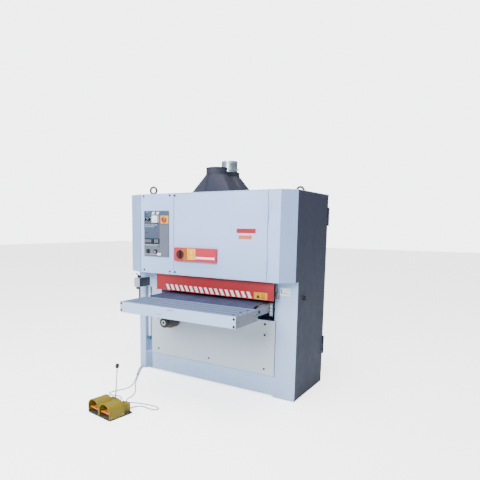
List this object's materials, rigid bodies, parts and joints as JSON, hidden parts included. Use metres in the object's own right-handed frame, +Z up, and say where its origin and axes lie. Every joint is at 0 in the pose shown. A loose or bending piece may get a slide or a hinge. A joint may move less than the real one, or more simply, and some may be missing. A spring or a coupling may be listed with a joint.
{
  "type": "wide-belt sander",
  "caption": "Floor-standing wide-belt sander: hooded belt sanding heads over a lifting feed conveyor with extension tables, plus a corded foot switch.",
  "frame": {"origin": "on the floor, at the centre of the four anchor holes in the base", "axes": "+X to the operator's right, +Y from the operator to the back of the machine, +Z up"},
  "size_m": [1.876, 2.3626, 2.242],
  "materials": {
    "light_paint": "satin light blue-grey paint",
    "slate_paint": "satin slate-grey paint",
    "red_paint": "gloss signal red paint",
    "hood_paint": "matt grey-violet paint",
    "galvanised": "galvanised sheet",
    "steel": "turned and ground steel",
    "dark_metal": "dark painted casting",
    "table_paint": "worn light paint over steel",
    "belt_rubber": "dark blue-grey feed belt",
    "roller_rubber": "ground black rubber",
    "abrasive": "brown abrasive cloth",
    "black_plastic": "black moulded plastic",
    "blue_plastic": "blue push button",
    "red_plastic": "red push button",
    "fascia_plate": "printed aluminium plate",
    "red_plate": "red plastic box",
    "pipe_white": "white pipe",
    "pedal_yellow": "gloss yellow paint",
    "pedal_orange": "orange treadle",
    "pedal_base_black": "black rubber base",
    "cord_grey": "grey cord sheath",
    "sleeve_grey": "light grey sleeve"
  },
  "bodies": {
    "root": {"left_column": "light_paint", "right_column": "light_paint", "base_frame": "light_paint", "lower_front_panel": "light_paint", "hood_panels": "light_paint", "hood_roof": "light_paint", "control_panel": "light_paint", "control_fascia": "fascia_plate", "hinge_pins": "steel", "lift_jacks": "dark_metal", "lift_chain": "steel", "lift_gearbox": "dark_metal", "head_bearings": "dark_metal", "head_frame": "dark_metal", "pressure_shoes": "steel", "main_motor": "dark_metal", "drive_belts": "roller_rubber", "abrasive_belts": "abrasive", "dust_hoods": "hood_paint", "duct_stub": "galvanised", "eyebolts": "steel", "air_unit": "dark_metal", "niche_pipe": "pipe_white", "cover_screws": "black_plastic", "pedal_base": "pedal_base_black", "pedal_covers": "pedal_yellow", "carrying_rod": "steel", "cord_sleeve": "sleeve_grey", "left_cord": "cord_grey", "right_cord": "cord_grey"},
    "front_door": {"front_door": "light_paint", "main_switch_box": "red_plate"},
    "upper_door_lock": {"door_lock_1": "black_plastic"},
    "lower_door_lock": {"door_lock_2": "black_plastic"},
    "main_switch_knob": {"main_switch_knob": "black_plastic"},
    "side_door": {"side_door": "slate_paint"},
    "side_door_knob": {"side_door_knob": "black_plastic"},
    "start_button": {"start_button": "blue_plastic"},
    "feed_up_button": {"feed_up_button": "black_plastic"},
    "feed_down_button": {"feed_down_button": "black_plastic"},
    "emergency_stop_button": {"emergency_stop_button": "red_plastic"},
    "selector_1": {"selector_1": "black_plastic"},
    "selector_2": {"selector_2": "black_plastic"},
    "infeed_guard": {"infeed_guard": "red_paint"},
    "table": {"feed_belt": "belt_rubber", "conveyor_frame": "dark_metal", "extension_tables": "table_paint", "feed_motor": "dark_metal", "lift_screws": "steel"},
    "feed_roller_front": {"feed_roller_front": "steel"},
    "feed_roller_back": {"feed_roller_back": "steel"},
    "contact_roller_1": {"contact_roller_1": "roller_rubber"},
    "contact_roller_2": {"contact_roller_2": "roller_rubber"},
    "upper_roller_1": {"upper_roller_1": "steel"},
    "upper_roller_2": {"upper_roller_2": "steel"},
    "motor_pulley": {"motor_pulley": "steel"},
    "handwheel": {"handwheel": "black_plastic"},
    "setting_lever": {"setting_lever": "black_plastic"},
    "left_treadle": {"treadle_left": "pedal_orange"},
    "right_treadle": {"treadle_right": "pedal_orange"}
  },
  "joints": [
    {"name": "front_door_hinge", "type": "hinge", "parent": "root", "child": "front_door", "pos_m": [0.699, -0.545, 1.5], "axis": [0, 0, 1], "range_deg": [0, 110]},
    {"name": "upper_lock_turn", "type": "hinge", "parent": "front_door", "child": "upper_door_lock", "pos_m": [-0.302, -0.54, 1.879], "axis": [0, 1, 0], "range_deg": [0, 90]},
    {"name": "lower_lock_turn", "type": "hinge", "parent": "front_door", "child": "lower_door_lock", "pos_m": [-0.3, -0.54, 1.132], "axis": [0, 1, 0], "range_deg": [0, 90]},
    {"name": "main_switch_turn", "type": "hinge", "parent": "front_door", "child": "main_switch_knob", "pos_m": [-0.214, -0.57, 1.313], "axis": [0, 1, 0], "range_deg": [0, 90]},
    {"name": "side_door_hinge", "type": "hinge", "parent": "root", "child": "side_door", "pos_m": [0.933, 0.353, 1], "axis": [0, 0, 1], "range_deg": [0, 100]},
    {"name": "side_knob_turn", "type": "hinge", "parent": "side_door", "child": "side_door_knob", "pos_m": [0.925, -0.228, 0.949], "axis": [1, 0, 0], "range_deg": [0, 90]},
    {"name": "start_button_push", "type": "slide", "parent": "root", "child": "start_button", "axis": [0, 1, 0], "range_m": [0, 0.004], "stiffness_N_per_m": 400, "springref_m": -0.002},
    {"name": "feed_up_button_push", "type": "slide", "parent": "root", "child": "feed_up_button", "axis": [0, 1, 0], "range_m": [0, 0.004], "stiffness_N_per_m": 400, "springref_m": -0.002},
    {"name": "feed_down_button_push", "type": "slide", "parent": "root", "child": "feed_down_button", "axis": [0, 1, 0], "range_m": [0, 0.004], "stiffness_N_per_m": 400, "springref_m": -0.002},
    {"name": "emergency_stop_push", "type": "slide", "parent": "root", "child": "emergency_stop_button", "axis": [0, 1, 0], "range_m": [0, 0.004]},
    {"name": "selector_1_turn", "type": "hinge", "parent": "root", "child": "selector_1", "pos_m": [-0.671, -0.543, 1.651], "axis": [0, 1, 0], "range_deg": [-45, 45]},
    {"name": "selector_2_turn", "type": "hinge", "parent": "root", "child": "selector_2", "pos_m": [-0.621, -0.543, 1.651], "axis": [0, 1, 0], "range_deg": [-45, 45]},
    {"name": "guard_swing", "type": "hinge", "parent": "root", "child": "infeed_guard", "pos_m": [0.07, -0.46, 1.092], "axis": [1, 0, 0], "range_deg": [0, 8]},
    {"name": "table_lift", "type": "slide", "parent": "root", "child": "table", "axis": [0, 0, 1], "range_m": [-0.055, 0.02]},
    {"name": "handwheel_turn", "type": "hinge", "parent": "root", "child": "handwheel", "pos_m": [-0.414, -0.557, 0.609], "axis": [0, 1, 0], "range_deg": [-1985, 725]},
    {"name": "feed_front_spin", "type": "hinge", "parent": "table", "child": "feed_roller_front", "pos_m": [0.0925, -0.652, 0.8557], "axis": [1, 0, 0], "continuous": true},
    {"name": "feed_back_spin", "type": "hinge", "parent": "table", "child": "feed_roller_back", "pos_m": [0.0925, 0.438, 0.8557], "axis": [1, 0, 0], "continuous": true},
    {"name": "contact_1_spin", "type": "hinge", "parent": "root", "child": "contact_roller_1", "pos_m": [0.0925, -0.26, 1.013], "axis": [1, 0, 0], "continuous": true},
    {"name": "contact_2_spin", "type": "hinge", "parent": "root", "child": "contact_roller_2", "pos_m": [0.0925, -0.012, 1.013], "axis": [1, 0, 0], "continuous": true},
    {"name": "upper_1_spin", "type": "hinge", "parent": "root", "child": "upper_roller_1", "pos_m": [0.0925, -0.26, 1.722], "axis": [1, 0, 0], "continuous": true},
    {"name": "upper_2_spin", "type": "hinge", "parent": "root", "child": "upper_roller_2", "pos_m": [0.0925, -0.012, 1.722], "axis": [1, 0, 0], "continuous": true},
    {"name": "motor_spin", "type": "hinge", "parent": "root", "child": "motor_pulley", "pos_m": [-0.682, 0, 0.36], "axis": [1, 0, 0], "continuous": true},
    {"name": "lever_turn", "type": "hinge", "parent": "root", "child": "setting_lever", "pos_m": [-0.8175, -0.49, 1.049], "axis": [1, 0, 0], "range_deg": [-20, 25]},
    {"name": "left_treadle_press", "type": "hinge", "parent": "root", "child": "left_treadle", "pos_m": [-0.35723, -1.44484, 0.026], "axis": [0.9903, -0.1392, 0], "range_deg": [0, 10], "stiffness_Nm_per_rad": 2, "springref_deg": -25.78},
    {"name": "right_treadle_press", "type": "hinge", "parent": "root", "child": "right_treadle", "pos_m": [-0.20869, -1.46572, 0.026], "axis": [0.9903, -0.1392, 0], "range_deg": [0, 10], "stiffness_Nm_per_rad": 2, "springref_deg": -25.78}
  ],
  "couplings": [
    {"joint": "handwheel_turn", "follows": "table_lift", "rad_per_m": 628.32},
    {"joint": "feed_back_spin", "follows": "feed_front_spin", "ratio": 1},
    {"joint": "contact_2_spin", "follows": "contact_1_spin", "ratio": 1},
    {"joint": "upper_1_spin", "follows": "contact_1_spin", "ratio": 1.3333},
    {"joint": "upper_2_spin", "follows": "contact_1_spin", "ratio": 1.3333},
    {"joint": "motor_spin", "follows": "contact_1_spin", "ratio": 0.775}
  ]
}
